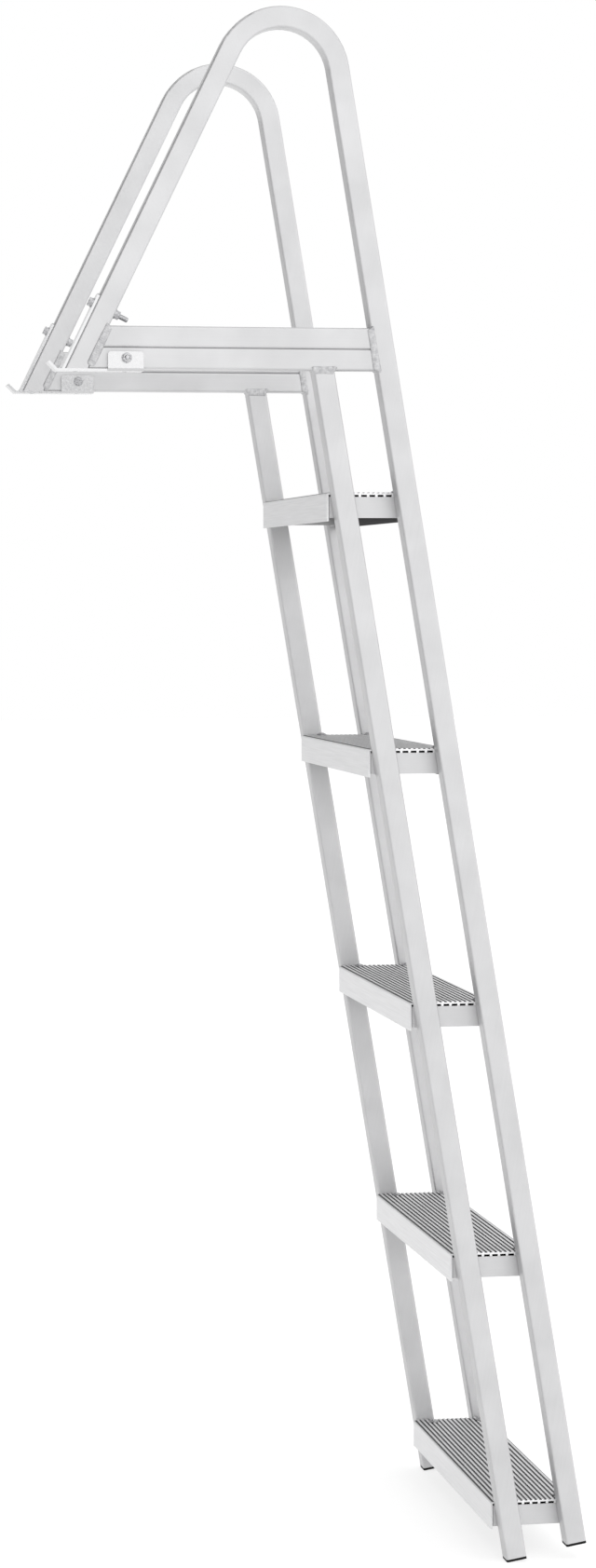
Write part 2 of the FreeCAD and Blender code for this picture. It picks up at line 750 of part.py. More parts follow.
def build_bracket(label, side):
    """Plate with an upturned lip inland and two ears that stand beside the lower bar."""
    body = new_body(label)
    edge_y = toe_y + size("lip_start")
    rise = size("lip_rise")
    back_y = toe_y - size("ear_start") - size("ear_length")
    slant = sheet / TWO.sqrt()
    profile = new_sketch(body, "Profile", "YZ_Plane")
    outline = [
        (back_y, ZERO),
        (edge_y, ZERO),
        (edge_y + rise, rise),
        (edge_y + rise - slant, rise + slant),
        (edge_y + sheet - slant * 2, sheet),
        (back_y, sheet),
    ]
    add_outline(profile, outline)
    pad(body, "Plate", profile, tube, "Symmetric")
    half_out = ear_span / 2
    half_in = half_out - sheet
    top_z = sheet + size("ear_height")
    channel = new_sketch(body, "Ears", "XZ_Plane", size("ear_start") - toe_y)
    ears = [
        (-half_out, ZERO),
        (half_out, ZERO),
        (half_out, top_z),
        (half_in, top_z),
        (half_in, sheet),
        (-half_in, sheet),
        (-half_in, top_z),
        (-half_out, top_z),
    ]
    add_outline(channel, ears)
    pad(body, "EarsPad", channel, size("ear_length"))
    round_edges(
        body, "EarCorners", size("ear_corner"),
        lambda edge: along(edge, 0) and near(edge.CenterOfMass.z, top_z.value),
    )
    round_edges(
        body, "EarBends", size("ear_bend"),
        lambda edge: along(edge, 1) and near(edge.CenterOfMass.z, 0) and near(
            abs(edge.CenterOfMass.x), half_out.value
        ),
    )
    drill(body, "EarBoltHole", "YZ_Plane", [(ear_bolt_y, bar_z + half_tube)], bolt_hole, ear_span * 2)
    half_pitch = size("deck_pitch") / 2
    screws = [(ZERO, half_pitch), (ZERO, -half_pitch)]
    drill(body, "DeckHoles", "XY_Plane", screws, size("deck_hole"), sheet * 4)
    sink = (size("deck_sink") - size("deck_hole")) / 2
    round_edges(
        body, "Countersinks", sink,
        lambda edge: isinstance(edge.Curve, Part.Circle) and near(edge.CenterOfMass.z, sheet.value)
        and near(edge.Curve.Radius, size("deck_hole").value / 2),
        "PartDesign::Chamfer",
    )
    place(body, side_x * side)


def build_strap(label, side):
    """Strap welded up from the plate at the toe, along the inclined leg's inland face."""
    body = new_body(label)
    top = strap_hole + size("strap_end")
    profile = new_sketch(body, "Profile", "YZ_Plane")
    add_outline(profile, [(ZERO, ZERO), (sheet, -(sheet * incline.tan())), (sheet, top), (ZERO, top)])
    pad(body, "Plate", profile, tube, "Symmetric")
    round_edges(
        body, "TopCorners", size("ear_corner"),
        lambda edge: along(edge, 1) and near(edge.CenterOfMass.z, top.value),
    )
    drill(body, "BoltHole", "XZ_Plane", [(ZERO, strap_hole)], bolt_hole, sheet * 4)
    place(body, side_x * side, toe_y, bar_z, incline)


def leg_point(distance_up, distance_out):
    """A point in the leg's own directions: up the inland face from the toe, and out of it."""
    y = toe_y - distance_up * incline.sin() + distance_out * incline.cos()
    z = bar_z + distance_up * incline.cos() + distance_out * incline.sin()
    return y, z


def build_bracket_fasteners(name, side):
    """The toe bolt runs down through strap and leg, the ear bolt outwards through the ears."""
    x = side_x * side
    toe_turn = incline - QUARTER
    grip = sheet + tube + washer * 2
    toe_bolt = hex_bolt(name + "_toe_bolt", grip + nut_height + size("toe_bolt_tail"))
    place(toe_bolt, x, *leg_point(strap_hole, sheet + washer), toe_turn)
    toe_nut = hex_nut(name + "_toe_nut")[0]
    place(toe_nut, x, *leg_point(strap_hole, -tube - washer), toe_turn)
    toe_washers = ring(name + "_toe_washers", size("washer_radius"), thread, washer)
    pair_up(toe_washers, sheet + tube + washer)
    place(toe_washers, x, *leg_point(strap_hole, sheet + washer), toe_turn)

    inside = ear_span / 2 + washer
    ear_turn = QUARTER * side
    ear_z = bar_z + half_tube
    ear_bolt = hex_bolt(
        name + "_ear_bolt", ear_span + washer * 2 + nut_height + size("ear_bolt_tail")
    )
    place(ear_bolt, x - inside * side, ear_bolt_y, ear_z, -ear_turn, (0, 1, 0))
    ear_nut = hex_nut(name + "_ear_nut")[0]
    place(ear_nut, x + inside * side, ear_bolt_y, ear_z, -ear_turn, (0, 1, 0))
    ear_washers = ring(name + "_ear_washers", size("washer_radius"), thread, washer)
    pair_up(ear_washers, ear_span + washer)
    place(ear_washers, x - inside * side, ear_bolt_y, ear_z, -ear_turn, (0, 1, 0))


def pair_up(body, apart):
    """A second washer below the first, on the same bolt."""
    body.AllowCompound = True
    row = repeat(body, "Pair", [body.Tip], [("Z_Axis", TWO, apart)])
    row.Reversed = True


for name, side in SIDES:
    build_handrail(name + "_handrail", side)
    build_rails_and_bars(name, side)
    build_foot(name + "_inner_foot", side, inner_axis_y, size("inner_tail"))
    build_foot(name + "_outer_foot", side, outer_axis_y, size("outer_tail"))
    build_bracket(name + "_deck_bracket", side)
    build_strap(name + "_toe_strap", side)
    build_bracket_fasteners(name, side)
    for number in range(TREADS):
        build_bearer(name, side, number)
for number in range(TREADS):
    build_tread(number)
    build_tread_bolts(number)
    build_tread_nuts(number)

# ---------------------------------------------------------------------------
# Check and write
# ---------------------------------------------------------------------------
doc.recompute()
for item in doc.Objects:
    if "Invalid" in item.State or "Error" in item.State:
        raise RuntimeError("%s failed: %s" % (item.Label, item.State))
for body in sub_parts:
    if body.Shape.isNull() or not body.Shape.isValid() or not body.Shape.Solids:
        raise RuntimeError("%s has no valid solid" % body.Label)

os.makedirs(PARTS_FOLDER, exist_ok=True)
for body in sub_parts:
    body.Shape.exportStep(os.path.join(PARTS_FOLDER, body.Label + ".step"))
print("%d sub-parts written" % len(sub_parts))
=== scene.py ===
# %% [markdown]
# # A boarding ladder for a fixed dock
# The ladder is two welded side frames of square aluminium tube, five extruded treads and
# two stainless deck brackets.  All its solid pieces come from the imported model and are
# never changed here.  This lesson gives them finishes, adds the weld beads and the screw
# threads, and sets up a plain studio.  Lengths are metres, +Z is up, +Y points inland over
# the dock, and X runs across the ladder.

import math

import bpy
import numpy as np
from mathutils import Matrix, Vector


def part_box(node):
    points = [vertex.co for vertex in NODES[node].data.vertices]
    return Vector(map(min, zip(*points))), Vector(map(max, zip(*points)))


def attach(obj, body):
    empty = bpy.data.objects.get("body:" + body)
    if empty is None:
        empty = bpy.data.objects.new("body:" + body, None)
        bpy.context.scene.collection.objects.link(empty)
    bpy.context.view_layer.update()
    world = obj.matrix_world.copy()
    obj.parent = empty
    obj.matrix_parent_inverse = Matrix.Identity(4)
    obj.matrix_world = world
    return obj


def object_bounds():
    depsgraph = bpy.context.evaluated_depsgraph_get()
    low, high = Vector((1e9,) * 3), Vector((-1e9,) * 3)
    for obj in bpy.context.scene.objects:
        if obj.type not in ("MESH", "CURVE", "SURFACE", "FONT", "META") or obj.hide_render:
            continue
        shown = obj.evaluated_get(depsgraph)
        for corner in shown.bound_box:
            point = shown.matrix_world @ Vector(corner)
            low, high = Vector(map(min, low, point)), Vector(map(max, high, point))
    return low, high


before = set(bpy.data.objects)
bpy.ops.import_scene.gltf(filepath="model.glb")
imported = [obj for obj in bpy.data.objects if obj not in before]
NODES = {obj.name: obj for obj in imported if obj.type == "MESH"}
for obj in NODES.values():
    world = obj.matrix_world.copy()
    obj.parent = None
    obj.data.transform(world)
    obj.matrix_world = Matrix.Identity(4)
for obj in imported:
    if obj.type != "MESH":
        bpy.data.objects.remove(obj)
CAD_BOX = [list(corner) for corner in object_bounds()]
print(len(NODES), "solid pieces, box", CAD_BOX)

# %% [markdown]
# The side frames' two slopes and a few heights place the new pieces.  The heights come
# from the solids' own boxes, so the beads and threads land on the joints they belong to.
# The slopes are the design's own: the rails lean out over the water by one angle, and the
# handrail's inland leg by another.

# %% Slopes and heights
MM = 0.001
LEAN = math.radians(9.3)
INCLINE = math.radians(26.1)
TREADS = range(1, 6)
SIDES = (("left", -1), ("right", 1))

lower_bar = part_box("right_lower_bar")
upper_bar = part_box("right_upper_bar")
inner_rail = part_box("right_inner_rail")
BAR_LOW, BAR_HIGH = lower_bar[0].z, upper_bar[1].z
TUBE_IN, TUBE_OUT = lower_bar[0].x, lower_bar[1].x
TUBE = TUBE_OUT - TUBE_IN
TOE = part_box("right_handrail")[1].y
print("bars from %.1f to %.1f mm" % (BAR_LOW / MM, BAR_HIGH / MM))

# %% [markdown]
# ## Node helpers
# Colours are written as the usual six-digit values of a screen colour, which Blender
# needs in linear light.  One function does that, and another adds any kind of node with
# its settings and its links, so a material below reads as a short list of steps.

# %% Colours and nodes
def linear(hex_colour):
    """Each channel c becomes c / 12.92 if small, and ((c + 0.055) / 1.055) ** 2.4 if not."""
    channels = [int(hex_colour[start : start + 2], 16) / 255 for start in (1, 3, 5)]
    return [c / 12.92 if c <= 0.04045 else ((c + 0.055) / 1.055) ** 2.4 for c in channels] + [1.0]


def add(tree, kind, settings=None, inputs=None):
    """Add one node.  An input is a value, or another node's output socket to link from."""
    node = tree.nodes.new("ShaderNode" + kind)
    for key, value in (settings or {}).items():
        setattr(node, key, value)
    for key, value in (inputs or {}).items():
        if isinstance(value, bpy.types.NodeSocket):
            tree.links.new(value, node.inputs[key])
        else:
            node.inputs[key].default_value = value
    return node


def new_material(name, **constants):
    """A material with its shader; constants are set on the shader's own sockets."""
    material = bpy.data.materials.new(name)
    material.use_nodes = True
    shader = material.node_tree.nodes["Principled BSDF"]
    for key, value in constants.items():
        shader.inputs[key.replace("_", " ")].default_value = value
    return material, material.node_tree, shader


def tint(tree, amount, dark, light):
    """Blend from the dark to the light colour as the amount goes from 0 to 1."""
    ramp = add(tree, "ValToRGB", inputs={"Fac": amount})
    ramp.color_ramp.elements[0].color = linear(dark)
    ramp.color_ramp.elements[1].color = linear(light)
    return ramp.outputs["Color"]


NOISE_LOW, NOISE_HIGH = 0.3, 0.7


def spread(tree, value, low, high):
    """Stretch a noise from the range it mostly fills onto low to high."""
    limits = {"From Min": NOISE_LOW, "From Max": NOISE_HIGH, "To Min": low, "To Max": high}
    return add(tree, "MapRange", inputs={"Value": value, **limits}).outputs["Result"]


print("node helpers ready")

# %% [markdown]
# ## Drawn lines
# Tube is pushed through a die, which leaves faint straight lines along it.  A noise that
# is squeezed across the tube and stretched along it makes such lines.  Real die lines are
# about 0.3 mm apart, too fine to show, so they are drawn 2 mm apart.  The pattern is turned
# to lie along each tube, because the tubes run three ways.

# %% A pattern of drawn lines
LINE_WIDTH = 2 * MM
LINE_LENGTH = 90 * MM


def drawn_lines(tree, angle):
    """Noise of a point turned about X, so its z runs along the tube: fine across, long along."""
    where = add(tree, "TexCoord").outputs["Object"]
    scale = (1 / LINE_WIDTH, 1 / LINE_WIDTH, 1 / LINE_LENGTH)
    turned = add(tree, "Mapping", {"vector_type": "POINT"}, {"Vector": where, "Rotation": (angle, 0, 0)})
    squeezed = add(
        tree, "VectorMath", {"operation": "MULTIPLY"}, {0: turned.outputs["Vector"], 1: scale}
    )
    inputs = {"Vector": squeezed.outputs["Vector"], "Scale": 1.0, "Detail": 3.0}
    noise = add(tree, "TexNoise", inputs=inputs)
    return noise.outputs["Fac"]


def handling(tree, size):
    """Soft blotches of the given size, from handling and etching."""
    where = add(tree, "TexCoord").outputs["Object"]
    noise = add(tree, "TexNoise", inputs={"Vector": where, "Scale": 1 / size, "Detail": 2.0})
    return noise.outputs["Fac"]


print("lines %.0f mm wide, %.0f mm long" % (LINE_WIDTH / MM, LINE_LENGTH / MM))

# %% [markdown]
# ## Satin anodised aluminium
# The tubes are etched and clear-anodised.  The oxide scatters light, so the metal is pale
# and silky instead of mirror-like.  Metallic is kept below 1 to give that milky scatter.
# Roughness and a very low bump follow the drawn lines, and broad blotches vary the tone.

# %% Tube finish
TUBE_DARK, TUBE_LIGHT = "#C6C6C7", "#D0D0D1"


def finish_of_tube(name, pattern_of):
    """Pale satin metal whose lines come from pattern_of(tree)."""
    material, tree, shader = new_material(name, Metallic=0.55)
    lines = pattern_of(tree)
    blotches = handling(tree, 60 * MM)
    both = add(tree, "Math", {"operation": "MULTIPLY_ADD"}, {0: lines, 1: 0.35, 2: blotches})
    shift = add(tree, "MapRange", inputs={"Value": both.outputs[0], "From Min": 0.45, "From Max": 0.9})
    colour = tint(tree, shift.outputs["Result"], TUBE_DARK, TUBE_LIGHT)
    bump = add(tree, "Bump", inputs={"Height": lines, "Distance": 0.02 * MM, "Strength": 0.5})
    tree.links.new(colour, shader.inputs["Base Color"])
    tree.links.new(spread(tree, lines, 0.38, 0.46), shader.inputs["Roughness"])
    tree.links.new(bump.outputs["Normal"], shader.inputs["Normal"])
    return material


rail_finish = finish_of_tube("anodised_aluminium_rails", lambda tree: drawn_lines(tree, -LEAN))
level_finish = finish_of_tube("anodised_aluminium_bars", lambda tree: drawn_lines(tree, math.pi / 2))
print(rail_finish.name, level_finish.name)

# %% [markdown]
# The handrail is one bent tube, so its lines change direction at the hoop.  Two line
# patterns are made, one for the inclined leg and one for the rail, and a soft mask in Y
# passes from one to the other over the top of the hoop.

# %% Handrail finish
hoop_low, hoop_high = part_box("right_handrail")
LEG_TOP_Y = TOE - (hoop_high.z - BAR_LOW) * math.tan(INCLINE)
HOOP_SHIFT = 25 * MM
HOOP_Y = LEG_TOP_Y - HOOP_SHIFT
HOOP_BLEND = 50 * MM


def bent_lines(tree):
    """The rail's lines where y is below the hoop's middle, and the leg's lines above it."""
    where = add(tree, "TexCoord").outputs["Object"]
    parts = add(tree, "SeparateXYZ", inputs={"Vector": where})
    limits = {"From Min": HOOP_Y - HOOP_BLEND / 2, "From Max": HOOP_Y + HOOP_BLEND / 2}
    mask = add(tree, "MapRange", inputs={"Value": parts.outputs["Y"], **limits})
    mix = add(tree, "Mix", {"data_type": "FLOAT"})
    tree.links.new(mask.outputs["Result"], mix.inputs[0])
    tree.links.new(drawn_lines(tree, -LEAN), mix.inputs[2])
    tree.links.new(drawn_lines(tree, INCLINE), mix.inputs[3])
    return mix.outputs[0]


handrail_finish = finish_of_tube("anodised_aluminium_handrail", bent_lines)
print("handrail lines change over at y = %.0f mm" % (HOOP_Y / MM))

# %% [markdown]
# ## Extruded tread
# A tread is an extrusion, cut to length.  Its two long fascias are smooth and bright, and
# so are the crests of its ribs, which shoes polish.  The fascias' tone is also painted light:
# it is set lighter because the sun doesn't reach the inland fascia.  The grooves are dark,
# partly from the oxide they hold and partly as painted shade between the ribs.  The inside
# of the channel is painted dark as shade, where little light gets in.  The depth below the
# ribs' tops tells them apart.  It repeats at every tread, so the height is wrapped at the
# tread pitch, and a ramp gives each depth its tone.  The fascias lie in the same depths as
# the inside, so a second mask uses the distance from the nose's face, which leans back with
# the rails from tread to tread.  The sawn ends are bright too, and a face's own direction
# finds them.

# %% Tread finish
TREAD_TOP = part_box("tread_1")[1].z
TREAD_PITCH = TREAD_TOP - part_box("tread_2")[1].z
TREAD_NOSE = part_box("tread_1")[1].y
TREAD_DEPTH = TREAD_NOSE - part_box("tread_1")[0].y
GRIP, PLATE, SKIRT = 1.0 * MM, 2.0 * MM, 2.2 * MM


def arithmetic(tree, operation, *values):
    """One Math node with its values or sockets in order."""
    return add(tree, "Math", {"operation": operation}, dict(enumerate(values))).outputs[0]


def fade(tree, value, start, end):
    """0 where the value is at start, 1 where it is at end."""
    limits = {"Value": value, "From Min": start, "From Max": end}
    return add(tree, "MapRange", inputs=limits).outputs["Result"]


def facing(tree, axis):
    """1 on faces that look along the axis either way, 0 on the others."""
    normal = add(tree, "NewGeometry").outputs["Normal"]
    part = add(tree, "SeparateXYZ", inputs={"Vector": normal}).outputs[axis]
    return fade(tree, arithmetic(tree, "ABSOLUTE", part), 0.6, 0.8)


def tread_masks(tree):
    """Three masks: down in the grooves on top, below the plate, and on fascias and cut ends."""
    where = add(tree, "TexCoord").outputs["Object"]
    parts = add(tree, "SeparateXYZ", inputs={"Vector": where})
    fall = arithmetic(tree, "SUBTRACT", TREAD_TOP + MM, parts.outputs["Z"])
    down = arithmetic(tree, "WRAP", fall, TREAD_PITCH, 0.0)
    number = arithmetic(tree, "FLOOR", arithmetic(tree, "DIVIDE", fall, TREAD_PITCH))
    step_back = TREAD_PITCH * math.tan(LEAN)
    nose = arithmetic(tree, "MULTIPLY_ADD", number, -step_back, TREAD_NOSE)
    inward = arithmetic(tree, "SUBTRACT", nose, parts.outputs["Y"])
    middle = arithmetic(tree, "SUBTRACT", inward, TREAD_DEPTH / 2)
    to_side = arithmetic(tree, "SUBTRACT", TREAD_DEPTH / 2, arithmetic(tree, "ABSOLUTE", middle))
    groove = fade(tree, down, MM + GRIP * 0.15, MM + GRIP * 0.75)
    below = fade(tree, down, MM + GRIP + PLATE * 0.4, MM + GRIP + PLATE * 0.9)
    skirt = fade(tree, to_side, SKIRT * 0.75, SKIRT * 0.35)
    return groove, below, arithmetic(tree, "MAXIMUM", skirt, facing(tree, "X"))


def blend_colours(tree, share, first, second):
    """The first colour where the share is 0, the second where it is 1."""
    mix = add(tree, "Mix", {"data_type": "RGBA"})
    for socket, source in ((0, share), (6, first), (7, second)):
        tree.links.new(source, mix.inputs[socket])
    return mix.outputs[2]


print("masks ready for", TREAD_DEPTH / MM, "mm treads")

# %% The tread's material
tread_finish, tree, shader = new_material("mill_finish_aluminium_treads", Metallic=0.5)
where = add(tree, "TexCoord").outputs["Object"]
along_x = (1 / LINE_LENGTH, 1 / LINE_WIDTH, 1 / LINE_WIDTH)
squeezed = add(tree, "VectorMath", {"operation": "MULTIPLY"}, {0: where, 1: along_x})
noise_inputs = {"Vector": squeezed.outputs["Vector"], "Scale": 1.0, "Detail": 3.0}
die_lines = add(tree, "TexNoise", inputs=noise_inputs)
tone = spread(tree, die_lines.outputs["Fac"], 0.0, 1.0)
# the fascias' and sawn ends' tone, set lighter as painted light because the sun misses the inland fascia
smooth = tint(tree, tone, "#EBEBEC", "#F5F5F6")
crest = tint(tree, tone, "#DEDEDF", "#EAEAEB")
# groove tone: partly oxide held in the grooves, partly painted shade between the ribs
groove_oxide_and_shade = tint(tree, tone, "#565658", "#68686A")
# painted shade for the inside of the channel, below the plate
painted_inside_shade = tint(tree, tone, "#242426", "#343436")
groove, below, side = tread_masks(tree)
top = blend_colours(tree, groove, crest, groove_oxide_and_shade)
colour = blend_colours(tree, side, blend_colours(tree, below, top, painted_inside_shade), smooth)
relief = {"Height": die_lines.outputs["Fac"], "Distance": 0.03 * MM, "Strength": 0.5}
bump = add(tree, "Bump", inputs=relief)
roughness = add(tree, "MapRange", inputs={"Value": side, "To Min": 0.55, "To Max": 0.40})
tree.links.new(colour, shader.inputs["Base Color"])
tree.links.new(roughness.outputs["Result"], shader.inputs["Roughness"])
tree.links.new(bump.outputs["Normal"], shader.inputs["Normal"])
print("tread pitch %.0f mm" % (TREAD_PITCH / MM))

# %% [markdown]
# The bearers are angles with the same finish as the bars.  Only their level faces differ:
# they lie under the tread, in its shadow, so they are painted dark as shade, like its inside.

# %% Bearer finish
bearer_finish = finish_of_tube("anodised_aluminium_bearers", lambda tree: drawn_lines(tree, math.pi / 2))
tree = bearer_finish.node_tree
shader = tree.nodes["Principled BSDF"]
clean = shader.inputs["Base Color"].links[0].from_socket
# painted shade on the bearers' level faces under the tread, mottled by a fine noise
painted_shade = tint(tree, handling(tree, 8 * MM), "#1C1C1E", "#2A2A2C")
tree.links.new(blend_colours(tree, facing(tree, "Z"), clean, painted_shade), shader.inputs["Base Color"])
print(bearer_finish.name)

# %% [markdown]
# ## Stainless sheet and fasteners
# The brackets are bent from bright-rolled stainless sheet, nearly a mirror with a fine
# grain.  The bolts, nuts and washers are stainless too, but turned and tumbled, so they are
# greyer and their highlights break up.  Both are plain metals: metallic is 1.

# %% Stainless finishes
def grained(name, colours, grain, roughness, bump, **constants):
    """A finish whose tone and roughness follow one fine noise of the given grain size."""
    material, tree, shader = new_material(name, **constants)
    grains = handling(tree, grain)
    distance, strength = bump
    relief = add(tree, "Bump", inputs={"Height": grains, "Distance": distance, "Strength": strength})
    tree.links.new(tint(tree, spread(tree, grains, 0.0, 1.0), *colours), shader.inputs["Base Color"])
    tree.links.new(spread(tree, grains, *roughness), shader.inputs["Roughness"])
    tree.links.new(relief.outputs["Normal"], shader.inputs["Normal"])
    return material


STEEL_BUMP = (0.02 * MM, 0.4)
sheet_finish = grained(
    "bright_rolled_stainless_sheet",
    ("#C8C8C9", "#D1D1D2"), 3 * MM, (0.22, 0.30), STEEL_BUMP, Metallic=1.0,
)
fastener_finish = grained(
    "turned_stainless_fasteners",
    ("#8E8E90", "#D0D0D2"), 1.2 * MM, (0.16, 0.32), STEEL_BUMP, Metallic=1.0,
)
print(sheet_finish.name, fastener_finish.name)

# %% [markdown]
# ## Black rubber
# The feet are moulded rubber plugs: nearly black, matt, with a slight grain left by the
# mould.  Rubber is no metal, and its shine is turned down below the default.

# %% Rubber finish
rubber_finish = grained(
    "moulded_black_rubber",
    ("#060606", "#101010"), 0.8 * MM, (0.62, 0.78), (0.1 * MM, 0.5),
    Metallic=0.0, Specular_IOR_Level=0.2,
)
print(rubber_finish.name)

# %% [markdown]
# ## Weld metal
# The beads are aluminium filler, laid down by hand and not polished.  The metal is a
# little greyer and rougher than the tube, and it carries a dull bloom of soot and oxide.

# %% Weld finish
weld_finish = grained(
    "aluminium_weld_metal",
    ("#A8A8AA", "#CDCDCE"), 4 * MM, (0.36, 0.52), (0.15 * MM, 0.5), Metallic=0.6,
)
print(weld_finish.name)

# %% [markdown]
# ## Giving each solid its finish
# A solid keeps its mesh and only has its material slot refilled.  Its name says what it is
# made of, so a short table of name endings is enough.

# %% Assign the finishes
FINISHES = (
    ("_handrail", handrail_finish),
    ("_inner_rail", rail_finish),
    ("_bar", level_finish),
    ("_foot", rubber_finish),
    ("_deck_bracket", sheet_finish),
    ("_toe_strap", sheet_finish),
    ("_bolt", fastener_finish),
    ("_nut", fastener_finish),
    ("_washers", fastener_finish),
)


def finish_for(name):
    """Fasteners and treads by how the name starts, the rest by how it ends."""
    if name.startswith(("tread_bolts", "tread_nuts", "tread_washers")):
        return fastener_finish
    if name.startswith("tread_"):
        return tread_finish
    if "_bearer_" in name:
        return bearer_finish
    return next(finish for ending, finish in FINISHES if name.endswith(ending))


for name, node in NODES.items():
    for slot in node.material_slots:
        slot.material = finish_for(name)
print("finishes on", len(NODES), "solids")

# %% [markdown]
# ## Closed surfaces from rings
# Every new piece is a stack of rings: a profile carried along a path.  The rings are one
# numpy array, and the faces come from index arithmetic.  The two ends are closed by fans
# to a middle point, or the last ring joins the first.  If the volume comes out negative,
# the faces point inwards, so their order is turned round.

# %% Rings to a mesh
def ring_faces(rings, points, looped):
    """Quads between neighbouring rings, and fans to two extra points at open ends."""
    ring = np.arange(rings if looped else rings - 1)[:, None]
    spot = np.arange(points)[None, :]
    after, beside = (ring + 1) % rings, (spot + 1) % points
    here, there = ring * points, after * points
    corners = [here + spot, here + beside, there + beside, there + spot]
    quads = np.stack(np.broadcast_arrays(*corners), -1).reshape(-1, 4)
    if looped:
        return quads, np.zeros((0, 3), int)
    spot, beside, last = spot[0], beside[0], (rings - 1) * points
    first_fan = np.stack([np.full(points, rings * points), beside, spot], -1)
    last_fan = np.stack([np.full(points, rings * points + 1), last + spot, last + beside], -1)
    return quads, np.concatenate([first_fan, last_fan])


def volume(vertices, triangles):
    """Sum over the triangles of a . (b x c) / 6."""
    a, b, c = (vertices[triangles[:, k]] for k in range(3))
    return float(np.einsum("ij,ij->i", a, np.cross(b, c)).sum() / 6)


def make_piece(name, stacks, material, looped=False):
    """One mesh from several stacks of rings, each an array (rings, points, 3)."""
    vertices, faces = [], []
    start = 0
    for stack in stacks:
        rings, points = stack.shape[:2]
        flat = stack.reshape(-1, 3)
        if not looped:
            flat = np.concatenate([flat, stack[[0, -1]].mean(1)])
        quads, fans = ring_faces(rings, points, looped)
        triangles = np.concatenate([quads[:, [0, 1, 2]], quads[:, [0, 2, 3]], fans])
        if volume(flat - flat.mean(0), triangles) < 0:
            quads, fans = quads[:, ::-1], fans[:, ::-1]
        vertices.append(flat)
        faces += (quads + start).tolist() + (fans + start).tolist()
        start += len(flat)
    mesh = bpy.data.meshes.new(name)
    mesh.from_pydata(np.concatenate(vertices).tolist(), [], faces)
    mesh.shade_smooth()
    mesh.materials.append(material)
    piece = bpy.data.objects.new(name, mesh)
    bpy.context.scene.collection.objects.link(piece)
    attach(piece, "root")
    print(name, len(mesh.polygons), "faces")


# %% [markdown]
# ## Weld beads
# A bead is a row of overlapping puddles, like a pushed-over stack of coins.  It could be a
# displaced tube, but a formula is exact: an ellipse is carried along the joint, its height
# swells once per puddle, and the swell is bent back at the edges into crescents.  The
# inner half of the ellipse is buried in the two tubes.  Seeded noise keeps it hand-made.

# %% Bead along a joint
STEP = 0.4 * MM
PUDDLE = 2.6 * MM
AROUND = 18
SMOOTHING = 5
SWELL = 0.35
WAVERS, WAVER_LOW, WAVER_HIGH = 9, 0.88, 1.12
hand = np.random.default_rng(7)


def joint_path(corners, outward, looped=False):
    """Points every STEP along the corners, with each leg's outward direction.  Both are
    then averaged over a few neighbours, which rounds the corners."""
    corners, outward = np.asarray(corners, float), np.asarray(outward, float)
    if looped:
        corners = np.concatenate([corners, corners[:1]])
    legs = np.linalg.norm(np.diff(corners, axis=0), axis=1)
    counts = np.maximum(2, np.ceil(legs / STEP).astype(int))
    share = np.concatenate([np.arange(count) / count for count in counts])
    leg = np.repeat(np.arange(len(legs)), counts)
    points = corners[leg] + share[:, None] * (corners[leg + 1] - corners[leg])
    away = outward[leg]
    if not looped:
        points = np.concatenate([points, corners[-1:]])
        away = np.concatenate([away, away[-1:]])
    kind = "wrap" if looped else "edge"
    kernel = np.ones(2 * SMOOTHING + 1) / (2 * SMOOTHING + 1)
    pad = ((SMOOTHING, SMOOTHING), (0, 0))
    smooth = [
        np.stack([np.convolve(column, kernel, "valid") for column in np.pad(a, pad, kind).T], 1)
        for a in (points, away)
    ]
    return smooth[0], smooth[1] / np.linalg.norm(smooth[1], axis=1, keepdims=True)


def bead(corners, outward, half_width, height, looped=False):
    """At distance s and angle t round the ellipse: centre + half_width cos(t) sideways
    + height sin(t) (1 + swell) outward, with swell = SWELL |cos(pi s / PUDDLE - cos(t)**2)|."""
    centre, away = joint_path(corners, outward, looped)
    if looped:
        forward = np.roll(centre, -1, 0) - np.roll(centre, 1, 0)
    else:
        forward = np.gradient(centre, axis=0)
    forward /= np.linalg.norm(forward, axis=1, keepdims=True)
    sideways = np.cross(forward, away)
    sideways /= np.linalg.norm(sideways, axis=1, keepdims=True)
    count = len(centre)
    travelled = np.arange(count) * STEP
    angle = np.linspace(0, 2 * np.pi, AROUND, endpoint=False)
    swell = SWELL * np.abs(np.cos(np.pi * travelled[:, None] / PUDDLE - np.cos(angle) ** 2))
    places = np.linspace(0, count, WAVERS)
    slow = np.interp(np.arange(count), places, hand.uniform(WAVER_LOW, WAVER_HIGH, WAVERS), period=count)
    taper = np.ones(count)
    if not looped:
        to_end = np.minimum(travelled, travelled[::-1]) / half_width
        taper = np.sqrt(np.clip(1 - (1 - np.clip(to_end, 0, 1)) ** 2, 0.02, 1))
    across = half_width * (taper * slow)[:, None] * np.cos(angle)
    out = height * (taper * slow)[:, None] * np.sin(angle) * (1 + swell)
    return centre[:, None] + across[..., None] * sideways[:, None] + out[..., None] * away[:, None]


print("puddles every %.1f mm" % (PUDDLE / MM))

# %% [markdown]
# ## Beads where the bars meet the handrail
# The two stacked bars are mitred and welded to the inclined leg at one end and to the
# rail at the other.  Along the side faces, which are flush, the bead is low and wide.
# Across the top it is a fillet, so its outward direction is half way between the two
# faces.  The bead on the leg stops short of the deck, which leaves a small dark gap.

# %% Bar beads
def unit(*parts):
    """The parts divided by the length of the whole."""
    return np.array(parts) / np.linalg.norm(parts)


def leg_joint(z):
    """y of the mitre against the inclined leg at height z."""
    return lower_bar[1].y - (z - BAR_LOW) * math.tan(INCLINE)


def rail_joint(z):
    """y of the mitre against the leaning rail at height z."""
    return lower_bar[0].y + (z - BAR_LOW) * math.tan(LEAN)


